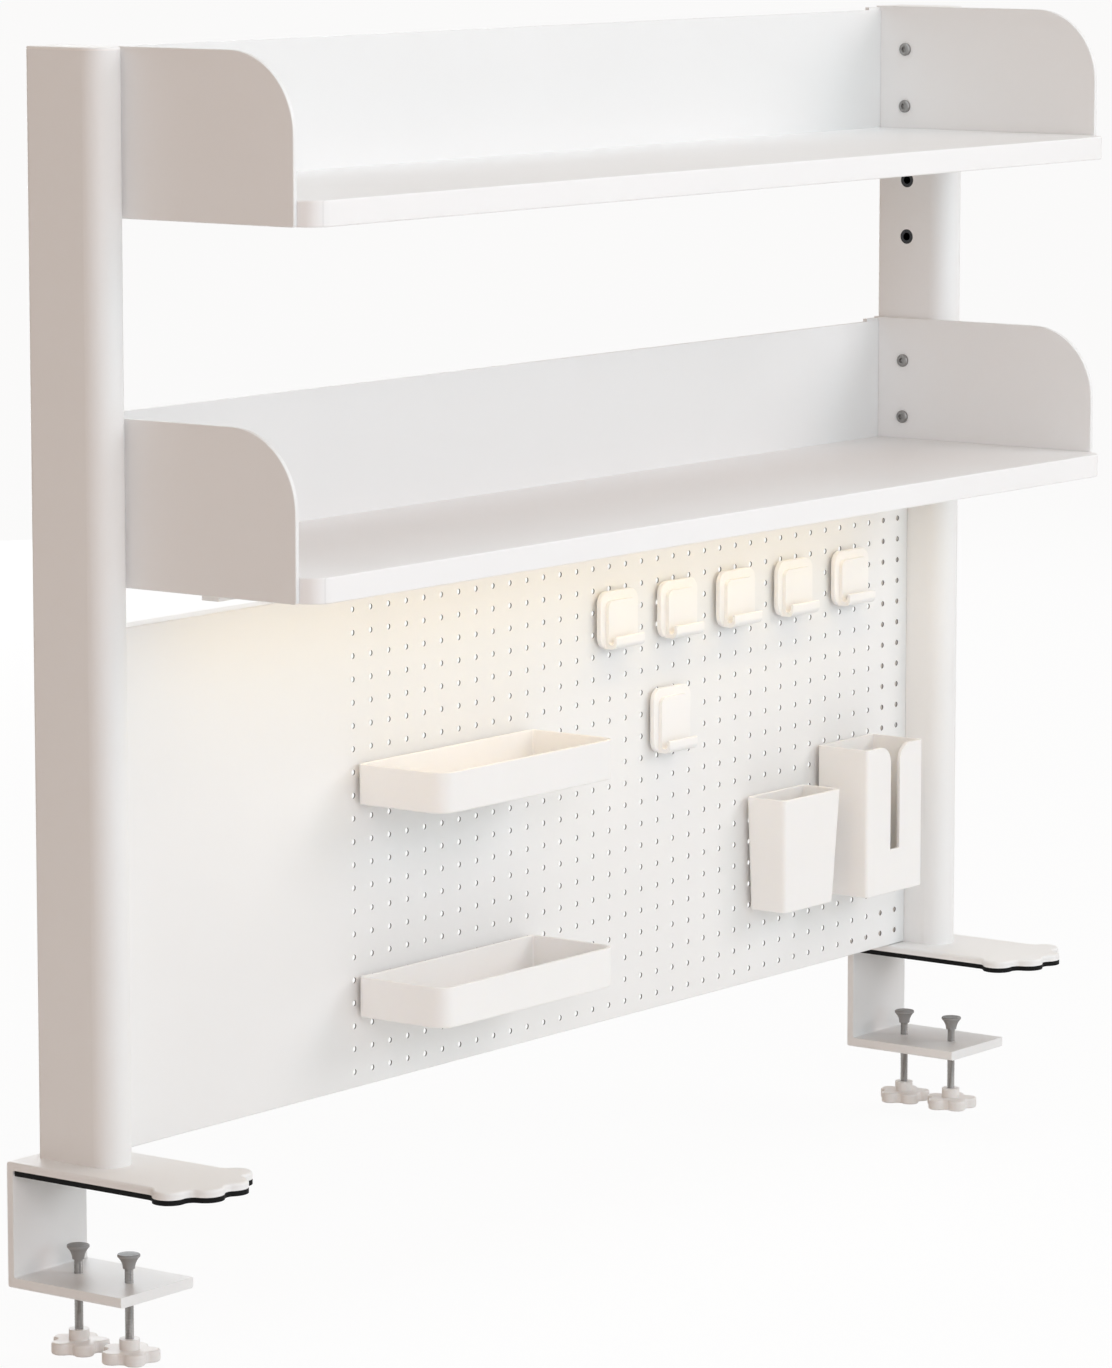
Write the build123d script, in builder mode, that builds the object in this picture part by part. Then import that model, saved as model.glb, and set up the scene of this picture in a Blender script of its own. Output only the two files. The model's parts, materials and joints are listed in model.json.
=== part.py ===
# Desk organizer shelf: two posts clamped to the rear edge of a desk carry two shelves and a
# perforated steel board. Two trays, a pen cup, a slotted box and six hooks stand off the board
# on magnets, and a light bar hangs under the lower shelf.
#
# Frame: Z = 0 is the desk top under the rubber pads, Y = 0 is the rear edge of the desk and
# X = 0 is midway between the posts. The front faces -Y. All lengths are in millimetres.

from build123d import *
import os

os.makedirs("parts", exist_ok=True)

# Posts: D-section steel tube, flat to the rear and round to the front
POST_SPAN = 1003.0
POST_WIDTH = 30.0
POST_DEPTH = 62.5
POST_WALL = 2.0
POST_CORNER = 3.0
POST_LENGTH = 718.5
POST_SETBACK = 3.5
CAP_FLANGE = 2.0
CAP_EDGE = 1.2
CAP_PLUG = 12.0
CAP_WALL = 2.0
FOOT_HEIGHT = 45.0
FOOT_SCREW_HEIGHTS = (27.0, 38.0)

# Clearances between pieces that fit into, stand beside or pass through each other
SNUG = 0.1
RUNNING = 0.05
PASSING = 0.3

# Desk clamps: bent steel brackets with a rubber pad under the top plate
PAD_THICKNESS = 3.5
CLAMP_STEEL = 5.0
SPINE_STEEL = 6.0
JAW_STEEL = 7.0
CLAMP_WIDTH = 72.0
CLAMP_THROAT = 68.0
CLAMP_BEND = 1.5
CLAMP_EDGE = 2.0
JAW_REACH = 91.5
LOBES = ((33.0, 130.5, 11.0), (12.0, 143.5, 12.0))
LOBE_VALLEY = 7.0
FOOT_BOLT_SIZE = 8.0
FOOT_BOLT_HEAD = 16.0
FOOT_BOLT_LENGTH = 25.0
FOOT_BOLT_PLACES = (19.0, 44.0)

# Clamp screws: a swivel pad on top, a threaded rod and a star knob
SCREW_SIZE = 6.0
SCREW_FIRST = 24.0
SCREW_SPACING = 43.5
SCREW_OPENING = 49.0
SWIVEL_RIM = 15.0
SWIVEL_NECK = 8.0
SWIVEL_WAIST = 9.6
SWIVEL_HEIGHT = 9.5
SWIVEL_RIM_HEIGHT = 1.6
SWIVEL_EDGE = 0.6
SWIVEL_BORE_DEPTH = 5.5
ROD_LENGTH = 64.0
ROD_CHAMFER = 0.6
KNOB_DIAMETER = 40.0
KNOB_HEIGHT = 8.0
KNOB_LOBES = 5
KNOB_LOBE_RADIUS = 7.0
KNOB_CORE = 14.5
KNOB_HOLLOW = 3.0
KNOB_EDGE = 1.5
KNOB_GRIP_DEPTH = 12.0
COLLAR_DIAMETER = 13.5
COLLAR_HEIGHT = 7.0

# Shelves: bent side plates, a folded back panel and a laminated board
PLATE_STEEL = 3.5
PLATE_HEIGHT = 109.0
PLATE_FRONT = 198.5
PLATE_RADIUS = 52.0
PLATE_FOOT_RADIUS = 2.0
PLATE_EDGE = 0.7
REAR_FLANGE = 18.0
BOTTOM_FLANGE = 22.0
BOTTOM_FLANGE_REAR = 22.0
BOTTOM_FLANGE_FRONT = 185.0
FLANGE_DROP = 1.0
SHELF_DROP = 236.5
BOARD_THICKNESS = 17.0
BOARD_FRONT = 212.0
BOARD_CORNER = 15.0
BOARD_EDGE = 1.2
BACK_STEEL = 1.2
BACK_FACE = 7.5
BACK_DROP = 3.0
BACK_HEM = 3.5
BACK_HEM_HEIGHT = 6.0

# Bolts and nuts of the shelves
BOLT_SIZE = 6.0
BOLT_HEAD = 9.6
BOLT_HEAD_HEIGHT = 2.4
BOLT_HEAD_ROUND = 1.4
BOLT_SOCKET = 4.0
BOLT_SOCKET_DEPTH = 1.6
BOLT_LENGTH = 16.0
BOLT_LINE = 30.0
BOLT_LOW = 33.5
BOLT_SPACING = 43.0
SPARE_DROP = 99.1
NUT_BODY = 9.0
NUT_FLANGE = 11.0
NUT_FLANGE_THICKNESS = 1.0
NUT_LENGTH = 14.0
STUD_SIZE = 4.0
STUD_LENGTH = 7.5
STUD_HEIGHTS = (34.0, 84.0)
STUD_INSET = 11.0
STUD_NUT_WIDTH = 7.0
STUD_NUT_HEIGHT = 3.2
WOOD_SCREW = 4.0
WOOD_SCREW_HEAD = 8.0
WOOD_SCREW_HEAD_HEIGHT = 2.4
WOOD_SCREW_LENGTH = 13.0
BOARD_SCREW_INSET = 12.0
BOARD_SCREW_PLACES = (60.0, 150.0)
BACK_SCREW_PLACES = (-300.0, 0.0, 300.0)

# Perforated board, folded back on all four sides and screwed between the posts
PANEL_FACE = 33.0
PANEL_STEEL = 1.0
PANEL_TOP_GAP = 30.6
PANEL_LIFT = 0.4
PANEL_RETURN = 15.0
PANEL_EDGE = 1.0
PANEL_SCREW_SIZE = 5.0
PANEL_SCREW_HEAD = 9.0
PANEL_SCREW_HEAD_HEIGHT = 3.0
PANEL_SCREW_LENGTH = 12.0
PANEL_SCREW_MARGIN = 52.0
PANEL_NUT_BODY = 7.0
PANEL_NUT_FLANGE = 10.0
HOLE_DIAMETER = 4.0
HOLE_COLUMNS = 35
HOLE_COLUMN_PITCH = 19.6
HOLE_ROW_PITCH = 16.0
HOLE_SIDE_MARGIN = 13.8
HOLE_BOTTOM_MARGIN = 11.1
HOLE_TOP_MARGIN = 12.0

# Magnets that hold each accessory a little off the perforated board
MAGNET_DIAMETER = 12.0
MAGNET_STANDOFF = 3.5
MAGNET_POCKET = 1.4

# Trays
TRAY_WIDTH = 198.0
TRAY_DEPTH = 75.0
TRAY_HEIGHT = 28.2
TRAY_WALL = 2.6
TRAY_FRONT_RADIUS = 12.0
TRAY_REAR_RADIUS = 4.0
TRAY_FOOT = 1.5
TRAY_RIM = 0.8
TRAY_CENTRE = -110.0
UPPER_TRAY_DROP = 118.5
LOWER_TRAY_TOP = 87.0
TRAY_MAGNET_SPACING = 75.0

# Pen cup, tapered towards its floor, with an upright rear wall
CUP_TOP_WIDTH = 74.5
CUP_TOP_DEPTH = 35.0
CUP_BOTTOM_WIDTH = 64.0
CUP_BOTTOM_DEPTH = 32.0
CUP_HEIGHT = 85.5
CUP_WALL = 2.4
CUP_RADIUS = 3.5
CUP_RIM = 0.7
CUP_CENTRE = 289.5
CUP_TOP = 151.2
CUP_MAGNET_SPACING = 48.0

# Slotted box
BOX_WIDTH = 74.5
BOX_DEPTH = 46.0
BOX_HEIGHT = 112.2
BOX_WALL = 2.4
BOX_RADIUS = 3.0
BOX_RIM = 0.7
BOX_CENTRE = 383.0
BOX_TOP = 178.2
SLOT_WIDTH = 12.3
SLOT_HEIGHT = 33.0
SLOT_FLARE = 13.0
BOX_MAGNET_SPACING = 70.0

# Hooks: a rounded base with a raised strap that turns up into a lip
HOOK_WIDTH = 45.5
HOOK_HEIGHT = 41.0
LARGE_HOOK_HEIGHT = 47.0
HOOK_RADIUS = 9.0
HOOK_BASE = 3.6
HOOK_EDGE = 1.0
HOOK_STRAP_WIDTH = 34.6
HOOK_STRAP = 3.0
HOOK_STRAP_MARGIN = 6.5
HOOK_STRAP_RADIUS = 5.0
HOOK_THROAT = 4.6
HOOK_LIP = 9.3
HOOK_LIP_THICKNESS = 2.4
HOOK_TIP_RADIUS = 1.1
HOOK_BOWL_RADIUS = 2.2
HOOK_MAGNET_SPACING = 24.0
HOOK_ROW_DROP = 50.1
HOOK_ROW = (88.4, 161.9, 235.5, 310.5, 385.5)
LARGE_HOOK_X = 153.8
LARGE_HOOK_DROP = 130.4

# Light bar under the lower shelf
LIGHT_LENGTH = 820.0
LIGHT_WIDTH = 14.0
LIGHT_HEIGHT = 8.0
LIGHT_WALL = 1.2
LIGHT_LINE = 95.0
COVER_THICKNESS = 1.6
COVER_TONGUE = 1.5
STRIP_WIDTH = 10.0
STRIP_THICKNESS = 1.0
CHIP_SIZE = 5.0
CHIP_HEIGHT = 1.4
CHIP_MARGIN = 30.0
CHIP_PITCH = 40.0
END_CAP_LENGTH = 22.0
END_CAP_SCREW = 7.0
INLET_DIAMETER = 5.5
INLET_DEPTH = 7.0
INLET_PIN = 2.0

# Places worked out from the sizes above
SIDES = {"left": -1, "right": 1}
INWARD = {-1: Align.MIN, 1: Align.MAX}
BASE = (Align.CENTER, Align.CENTER, Align.MIN)
TOP = (Align.CENTER, Align.CENTER, Align.MAX)
INNER_X = POST_SPAN / 2 - POST_WIDTH
POST_X = INNER_X + POST_WIDTH / 2
POST_Z = PAD_THICKNESS + CLAMP_STEEL
FOOT_SINK = (FOOT_BOLT_HEAD - FOOT_BOLT_SIZE) / 2
POST_TOP = POST_Z + POST_LENGTH + CAP_FLANGE
NOSE_Y = POST_WIDTH / 2 - POST_SETBACK - POST_DEPTH
UPPER_BASE = POST_TOP - PLATE_HEIGHT
LOWER_BASE = UPPER_BASE - SHELF_DROP
SHELF_BASES = {"upper": UPPER_BASE, "lower": LOWER_BASE}
SPARE_BASE = UPPER_BASE - SPARE_DROP
BOLT_HEIGHTS = (BOLT_LOW, BOLT_LOW + BOLT_SPACING)
PLATE_INNER_X = INNER_X - PLATE_STEEL
FLANGE_FACE = BACK_FACE - BACK_STEEL
STUD_X = INNER_X - STUD_INSET
SINK_HEIGHT = (WOOD_SCREW_HEAD - WOOD_SCREW) / 2
BOARD_SCREW_X = INNER_X - BOARD_SCREW_INSET
BOARD_HALF = PLATE_INNER_X - PASSING
BOTTOM_FLANGE_LENGTH = BOTTOM_FLANGE_FRONT - BOTTOM_FLANGE_REAR
PANEL_Z = POST_Z + PANEL_LIFT
PANEL_TOP = LOWER_BASE - PANEL_TOP_GAP
PANEL_HEIGHT = PANEL_TOP - PANEL_Z
PANEL_HALF = INNER_X - SNUG
PANEL_SCREW_Y = PANEL_RETURN / 2 - PANEL_FACE
PANEL_SCREW_HEIGHTS = (PANEL_SCREW_MARGIN, PANEL_HEIGHT / 2, PANEL_HEIGHT - PANEL_SCREW_MARGIN)
HOLE_ROWS = int((PANEL_HEIGHT - HOLE_BOTTOM_MARGIN - HOLE_TOP_MARGIN) / HOLE_ROW_PITCH) + 1
HOLE_CENTRE_X = PANEL_HALF - HOLE_SIDE_MARGIN - HOLE_COLUMN_PITCH * (HOLE_COLUMNS - 1) / 2
HOLE_CENTRE_Z = PANEL_Z + HOLE_BOTTOM_MARGIN + HOLE_ROW_PITCH * (HOLE_ROWS - 1) / 2
CLAMP_FRONT = LOBES[1][1] + LOBES[1][2]
JAW_BOTTOM = -CLAMP_THROAT - JAW_STEEL
SCREW_PLACES = {"rear": -SCREW_FIRST, "front": -SCREW_FIRST - SCREW_SPACING}
SWIVEL_BOTTOM = -SCREW_OPENING - SWIVEL_HEIGHT
SWIVEL_FLARE = -SCREW_OPENING - SWIVEL_RIM_HEIGHT
ROD_TOP = SWIVEL_BOTTOM + SWIVEL_BORE_DEPTH - SNUG
ROD_BOTTOM = ROD_TOP - ROD_LENGTH
KNOB_TOP = ROD_BOTTOM + KNOB_GRIP_DEPTH - COLLAR_HEIGHT
ACCESSORY_REAR = -PANEL_FACE - MAGNET_STANDOFF
LIGHT_BASE = LOWER_BASE - LIGHT_HEIGHT
CHIP_COUNT = int((LIGHT_LENGTH - 2 * CHIP_MARGIN) / CHIP_PITCH) + 1
TRAY_TOPS = {"upper": PANEL_TOP - UPPER_TRAY_DROP, "lower": LOWER_TRAY_TOP}
HOOK_PLACES = [(x, PANEL_TOP - HOOK_ROW_DROP, HOOK_HEIGHT) for x in HOOK_ROW]
HOOK_PLACES.append((LARGE_HOOK_X, PANEL_TOP - LARGE_HOOK_DROP, LARGE_HOOK_HEIGHT))


def save(piece, name):
    """Label a finished piece and write it under its own name."""
    piece.part.label = name
    export_step(piece.part, f"parts/{name}.step")


def inner_face(side):
    """Plane of a post's inner face, with Y across and Z up; extruding by side goes into the post."""
    return Plane.YZ.offset(side * INNER_X)


def bolt_points():
    """Places of the shelf bolts and their rivet nuts, spare pair included, as (Y, Z)."""
    bases = (UPPER_BASE, SPARE_BASE, LOWER_BASE)
    return [(-BOLT_LINE, base + height) for base in bases for height in BOLT_HEIGHTS]


def panel_points():
    """Places of the screws in the perforated board's side returns, as (Y, Z)."""
    return [(PANEL_SCREW_Y, PANEL_Z + height) for height in PANEL_SCREW_HEIGHTS]


def foot_screw_points(side):
    """Places of the two screws through the rear wall of a post, as (X, Z)."""
    return [(side * POST_X, POST_Z + height) for height in FOOT_SCREW_HEIGHTS]


def foot_bolt_points(side):
    """Places of the two bolts from the clamp plate up into a post's foot, as (X, Y)."""
    return [(side * POST_X, -place) for place in FOOT_BOLT_PLACES]


# Posts, their caps and their feet
def post_section(side, height, inset=0.0):
    """D-shaped section of a post at a height, drawn in by inset on every side."""
    half = POST_WIDTH / 2 - inset
    rear = -POST_SETBACK - inset
    corner = POST_CORNER - inset / 2
    with BuildSketch(Plane((side * POST_X, 0, height))) as section:
        with BuildLine():
            FilletPolyline((half, NOSE_Y), (half, rear), (-half, rear), (-half, NOSE_Y), radius=corner)
            ThreePointArc((-half, NOSE_Y), (0, NOSE_Y - half), (half, NOSE_Y))
        make_face()
    return section.sketch


for word, side in SIDES.items():
    with BuildPart() as post:
        extrude(post_section(side, POST_Z), amount=POST_LENGTH)
        extrude(post_section(side, POST_Z, POST_WALL), amount=POST_LENGTH, mode=Mode.SUBTRACT)
        with BuildSketch(inner_face(side)):
            with Locations(*bolt_points()):
                Circle(NUT_FLANGE / 2 + SNUG)
            with Locations(*panel_points()):
                Circle(PANEL_NUT_FLANGE / 2 + SNUG)
        extrude(amount=side * NUT_FLANGE_THICKNESS, mode=Mode.SUBTRACT)
        with BuildSketch(inner_face(side)):
            with Locations(*bolt_points()):
                Circle(NUT_BODY / 2 + SNUG)
            with Locations(*panel_points()):
                Circle(PANEL_NUT_BODY / 2 + SNUG)
        extrude(amount=side * (POST_WALL + SNUG), mode=Mode.SUBTRACT)
        with BuildSketch(Plane.XZ.offset(POST_SETBACK)):
            with Locations(*foot_screw_points(side)):
                Circle(PANEL_SCREW_SIZE / 2 + PASSING)
        extrude(amount=POST_WALL + SNUG, mode=Mode.SUBTRACT)
    save(post, f"{word}_post")

with BuildPart() as post_caps:
    for side in SIDES.values():
        flange_z = POST_TOP - CAP_FLANGE
        plug_z = flange_z - CAP_PLUG
        extrude(post_section(side, flange_z), amount=CAP_FLANGE)
        extrude(post_section(side, plug_z, POST_WALL + SNUG), amount=CAP_PLUG)
        extrude(post_section(side, plug_z, POST_WALL + SNUG + CAP_WALL), amount=CAP_PLUG, mode=Mode.SUBTRACT)
    fillet(post_caps.edges().group_by(Axis.Z)[-1], radius=CAP_EDGE)
save(post_caps, "post_caps")

with BuildPart() as post_feet:
    for side in SIDES.values():
        extrude(post_section(side, POST_Z, POST_WALL + SNUG), amount=FOOT_HEIGHT)
        with BuildSketch(Plane.XY.offset(POST_Z)):
            with Locations(*foot_bolt_points(side)):
                Circle(FOOT_BOLT_SIZE / 2 + RUNNING)
        extrude(amount=FOOT_HEIGHT, mode=Mode.SUBTRACT)
        with BuildSketch(Plane.XZ.offset(POST_SETBACK)):
            with Locations(*foot_screw_points(side)):
                Circle(PANEL_SCREW_SIZE / 2 + RUNNING)
        extrude(amount=PANEL_SCREW_LENGTH, mode=Mode.SUBTRACT)
save(post_feet, "post_feet")

with BuildPart() as foot_screws:
    for side in SIDES.values():
        with BuildSketch(Plane.XZ.offset(POST_SETBACK)):
            with Locations(*foot_screw_points(side)):
                Circle(PANEL_SCREW_HEAD / 2)
        extrude(amount=-PANEL_SCREW_HEAD_HEIGHT)
        with BuildSketch(Plane.XZ.offset(POST_SETBACK)):
            with Locations(*foot_screw_points(side)):
                Circle(PANEL_SCREW_SIZE / 2)
        extrude(amount=PANEL_SCREW_LENGTH)
save(foot_screws, "post_foot_screws")

with BuildPart() as foot_bolts:
    for side in SIDES.values():
        with BuildSketch(Plane.XY.offset(PAD_THICKNESS)):
            with Locations(*foot_bolt_points(side)):
                Circle(FOOT_BOLT_SIZE / 2)
        extrude(amount=FOOT_BOLT_LENGTH)
        for x, y in foot_bolt_points(side):
            with Locations((x, y, PAD_THICKNESS)):
                Cone(FOOT_BOLT_HEAD / 2, FOOT_BOLT_SIZE / 2, FOOT_SINK, align=BASE)
save(foot_bolts, "post_foot_bolts")

# Rivet nuts flush in the inner faces of both posts
with BuildPart() as rivet_nuts:
    for side in SIDES.values():
        for points, flange, body, thread in (
            (bolt_points(), NUT_FLANGE, NUT_BODY, BOLT_SIZE),
            (panel_points(), PANEL_NUT_FLANGE, PANEL_NUT_BODY, PANEL_SCREW_SIZE),
        ):
            with BuildSketch(inner_face(side)):
                with Locations(*points):
                    Circle(flange / 2)
            extrude(amount=side * NUT_FLANGE_THICKNESS)
            with BuildSketch(inner_face(side)):
                with Locations(*points):
                    Circle(body / 2)
            extrude(amount=side * NUT_LENGTH)
            with BuildSketch(inner_face(side)):
                with Locations(*points):
                    Circle(thread / 2 + RUNNING)
            extrude(amount=side * NUT_LENGTH, mode=Mode.SUBTRACT)
save(rivet_nuts, "rivet_nuts")


# Desk clamps
def valley_centre(first, second, radius):
    """Centre of the circle that touches two round lobes from outside, on their front side."""
    reach_one = first[2] + radius
    reach_two = second[2] + radius
    link = Vector(second[0] - first[0], second[1] - first[1])
    along = (reach_one**2 - reach_two**2 + link.length**2) / (2 * link.length)
    aside = (reach_one**2 - along**2) ** 0.5
    unit = link.normalized()
    return Vector(first[0], first[1]) + unit * along + Vector(unit.Y, -unit.X) * aside


def clamp_outline(side, height, rear):
    """Plan of a clamp's top plate: straight sides and a front edge of soft round lobes."""
    half = CLAMP_WIDTH / 2
    lobes = [(x, -y, r) for x, y, r in LOBES]
    outer, inner = lobes
    side_x = half + LOBE_VALLEY
    side_rise = ((outer[2] + LOBE_VALLEY) ** 2 - (side_x - outer[0]) ** 2) ** 0.5
    valleys = [
        Vector(side_x, outer[1] + side_rise),
        valley_centre(inner, outer, LOBE_VALLEY),
        valley_centre((-inner[0], inner[1], inner[2]), inner, LOBE_VALLEY),
    ]
    centres = [Vector(outer[0], outer[1]), Vector(inner[0], inner[1])]
    path = [
        valleys[0] + (centres[0] - valleys[0]).normalized() * LOBE_VALLEY,
        valleys[1] + (centres[0] - valleys[1]).normalized() * LOBE_VALLEY,
        valleys[1] + (centres[1] - valleys[1]).normalized() * LOBE_VALLEY,
        valleys[2] + (centres[1] - valleys[2]).normalized() * LOBE_VALLEY,
        valleys[2] + Vector(0, LOBE_VALLEY),
    ]
    with BuildSketch(Plane((side * POST_X, 0, height))) as plan:
        with BuildLine():
            edge = Line((half, rear), (half, valleys[0].Y))
            Line((0, rear), (half, rear))
            for point in path:
                edge = TangentArc(edge @ 1, point, tangent=edge % 1)
            mirror(about=Plane.YZ)
        make_face()
    return plan.sketch


for word, side in SIDES.items():
    with BuildPart() as bracket:
        extrude(clamp_outline(side, PAD_THICKNESS, SPINE_STEEL), amount=CLAMP_STEEL)
        with BuildSketch(Plane.YZ.offset(side * POST_X - CLAMP_WIDTH / 2)):
            with BuildLine():
                Polyline(
                    (0, PAD_THICKNESS),
                    (0, -CLAMP_THROAT),
                    (-JAW_REACH, -CLAMP_THROAT),
                    (-JAW_REACH, JAW_BOTTOM),
                    (SPINE_STEEL, JAW_BOTTOM),
                    (SPINE_STEEL, PAD_THICKNESS),
                    close=True,
                )
            make_face()
        extrude(amount=CLAMP_WIDTH)
        bends = bracket.edges().filter_by(Axis.X)
        fillet(bends.group_by(Axis.Y)[-1], radius=CLAMP_BEND)
        throat = bracket.edges().filter_by(Axis.X).filter_by_position(Axis.Y, -SNUG, SNUG)
        fillet(throat, radius=CLAMP_BEND)
        top = bracket.faces().sort_by(Axis.Z)[-1]
        fillet(top.edges().filter_by_position(Axis.Y, -CLAMP_FRONT - SNUG, -SNUG), radius=CLAMP_EDGE)
        with BuildSketch(Plane.XY.offset(JAW_BOTTOM)):
            with Locations(*[(side * POST_X, place) for place in SCREW_PLACES.values()]):
                Circle(SCREW_SIZE / 2 + RUNNING)
        extrude(amount=JAW_STEEL, mode=Mode.SUBTRACT)
        for x, y in foot_bolt_points(side):
            with Locations((x, y, PAD_THICKNESS)):
                Cone(
                    FOOT_BOLT_HEAD / 2 + RUNNING,
                    FOOT_BOLT_SIZE / 2 + RUNNING,
                    FOOT_SINK,
                    align=BASE,
                    mode=Mode.SUBTRACT,
                )
                Cylinder(FOOT_BOLT_SIZE / 2 + RUNNING, CLAMP_STEEL, align=BASE, mode=Mode.SUBTRACT)
    save(bracket, f"{word}_clamp_bracket")

    with BuildPart() as desk_pad:
        extrude(clamp_outline(side, 0, -CLAMP_BEND - PASSING), amount=PAD_THICKNESS)
    save(desk_pad, f"{word}_desk_pad")


# Clamp screws
def knob_outline(x, y):
    """Star outline of a knob: a round core with evenly spaced round lobes."""
    with BuildSketch(Plane((x, y, KNOB_TOP))) as outline:
        Circle(KNOB_CORE)
        with PolarLocations(KNOB_DIAMETER / 2 - KNOB_LOBE_RADIUS, KNOB_LOBES, start_angle=90):
            Circle(KNOB_LOBE_RADIUS)
        hollows = [v for v in outline.vertices() if abs(Vector(v.X, v.Y).length - KNOB_CORE) < SNUG]
        fillet(hollows, radius=KNOB_HOLLOW)
    return outline.sketch


for word, side in SIDES.items():
    for place, y in SCREW_PLACES.items():
        x = side * POST_X
        with BuildPart() as swivel:
            with BuildSketch(Plane((x, y, 0), x_dir=(1, 0, 0), z_dir=(0, -1, 0))):
                with BuildLine():
                    Polyline(
                        (SWIVEL_NECK / 2, SWIVEL_BOTTOM),
                        (0, SWIVEL_BOTTOM),
                        (0, -SCREW_OPENING),
                        (SWIVEL_RIM / 2, -SCREW_OPENING),
                        (SWIVEL_RIM / 2, SWIVEL_FLARE),
                    )
                    ThreePointArc(
                        (SWIVEL_RIM / 2, SWIVEL_FLARE),
                        (SWIVEL_WAIST / 2, (SWIVEL_BOTTOM + SWIVEL_FLARE) / 2),
                        (SWIVEL_NECK / 2, SWIVEL_BOTTOM),
                    )
                make_face()
            revolve(axis=Axis((x, y, 0), (0, 0, 1)))
            fillet(swivel.faces().sort_by(Axis.Z)[-1].edges(), radius=SWIVEL_EDGE)
            with Locations((x, y, SWIVEL_BOTTOM)):
                Cylinder(SCREW_SIZE / 2 + RUNNING, SWIVEL_BORE_DEPTH, align=BASE, mode=Mode.SUBTRACT)
        save(swivel, f"{word}_{place}_clamp_pad")

        with BuildPart() as rod:
            with Locations((x, y, ROD_BOTTOM)):
                Cylinder(SCREW_SIZE / 2, ROD_LENGTH, align=BASE)
            chamfer(rod.edges().group_by(Axis.Z)[-1], length=ROD_CHAMFER)
        save(rod, f"{word}_{place}_clamp_screw")

        with BuildPart() as knob:
            extrude(knob_outline(x, y), amount=-KNOB_HEIGHT)
            fillet(knob.faces().sort_by(Axis.Z)[0].edges(), radius=KNOB_EDGE)
            fillet(knob.faces().sort_by(Axis.Z)[-1].edges(), radius=KNOB_EDGE)
            with Locations((x, y, KNOB_TOP)):
                Cylinder(COLLAR_DIAMETER / 2, COLLAR_HEIGHT, align=BASE)
            with Locations((x, y, ROD_BOTTOM)):
                Cylinder(SCREW_SIZE / 2, ROD_LENGTH, align=BASE, mode=Mode.SUBTRACT)
        save(knob, f"{word}_{place}_clamp_knob")


# Shelves
def plate_outline(side, base):
    """Side view of a shelf's side plate, with a large round top front corner."""
    rear = PLATE_STEEL - FLANGE_FACE
    top = base + PLATE_HEIGHT
    with BuildSketch(inner_face(side)) as outline:
        with BuildLine():
            FilletPolyline(
                (rear, base),
                (rear, top),
                (-PLATE_FRONT, top),
                (-PLATE_FRONT, base),
                radius=(0, 0, PLATE_RADIUS, PLATE_FOOT_RADIUS),
                close=True,
            )
        make_face()
    return outline.sketch


def shelf_bolt_points(base):
    """Places of the bolts through a side plate into the post, as (Y, Z)."""
    return [(-BOLT_LINE, base + height) for height in BOLT_HEIGHTS]


def plate_screw_points(side):
    """Places of the wood screws through a side plate's bottom flange, as (X, Y)."""
    return [(side * BOARD_SCREW_X, -place) for place in BOARD_SCREW_PLACES]


def stud_points(base):
    """Places of a back panel's studs, which pass through the rear flanges, as (X, Z)."""
    return [(side * STUD_X, base + height) for side in SIDES.values() for height in STUD_HEIGHTS]


def back_screw_points(base):
    """Places of the wood screws through a back panel into the board's rear edge, as (X, Z)."""
    return [(x, base + BOARD_THICKNESS / 2) for x in BACK_SCREW_PLACES]


def light_screw_points():
    """Places of the wood screws through the light bar's end caps, as (X, Y)."""
    return [(side * (LIGHT_LENGTH / 2 + END_CAP_SCREW), -LIGHT_LINE) for side in SIDES.values()]


def side_plate(side, base):
    """Sheet beside the board with a rear flange for the back panel and one under the board."""
    skin = side * (INNER_X - PLATE_EDGE)
    corner = (INWARD[side], Align.MIN, Align.MIN)
    with BuildPart() as plate:
        extrude(plate_outline(side, base), amount=-side * PLATE_STEEL)
        fillet(plate.faces().filter_by(Axis.X).edges(), radius=PLATE_EDGE)
        with Locations((skin, -FLANGE_FACE, base)):
            Box(REAR_FLANGE - PLATE_EDGE, PLATE_STEEL, PLATE_HEIGHT - FLANGE_DROP, align=corner)
        with Locations((skin, -BOTTOM_FLANGE_FRONT, base)):
            Box(BOTTOM_FLANGE - PLATE_EDGE, BOTTOM_FLANGE_LENGTH, PLATE_STEEL, align=corner)
        with BuildSketch(inner_face(side)):
            with Locations(*shelf_bolt_points(base)):
                Circle(BOLT_SIZE / 2 + PASSING)
        extrude(amount=-side * PLATE_STEEL, mode=Mode.SUBTRACT)
        with BuildSketch(Plane.XZ.offset(FLANGE_FACE)):
            with Locations(*stud_points(base)):
                Circle(STUD_SIZE / 2 + PASSING)
        extrude(amount=-PLATE_STEEL, mode=Mode.SUBTRACT)
        with BuildSketch(Plane.XY.offset(base)):
            with Locations(*plate_screw_points(side)):
                Circle(WOOD_SCREW / 2 + PASSING)
        extrude(amount=PLATE_STEEL, mode=Mode.SUBTRACT)
        for x, y in plate_screw_points(side):
            with Locations((x, y, base)):
                Cone(
                    WOOD_SCREW_HEAD / 2 + RUNNING,
                    WOOD_SCREW / 2 + RUNNING,
                    SINK_HEIGHT,
                    align=BASE,
                    mode=Mode.SUBTRACT,
                )
    return plate


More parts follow.
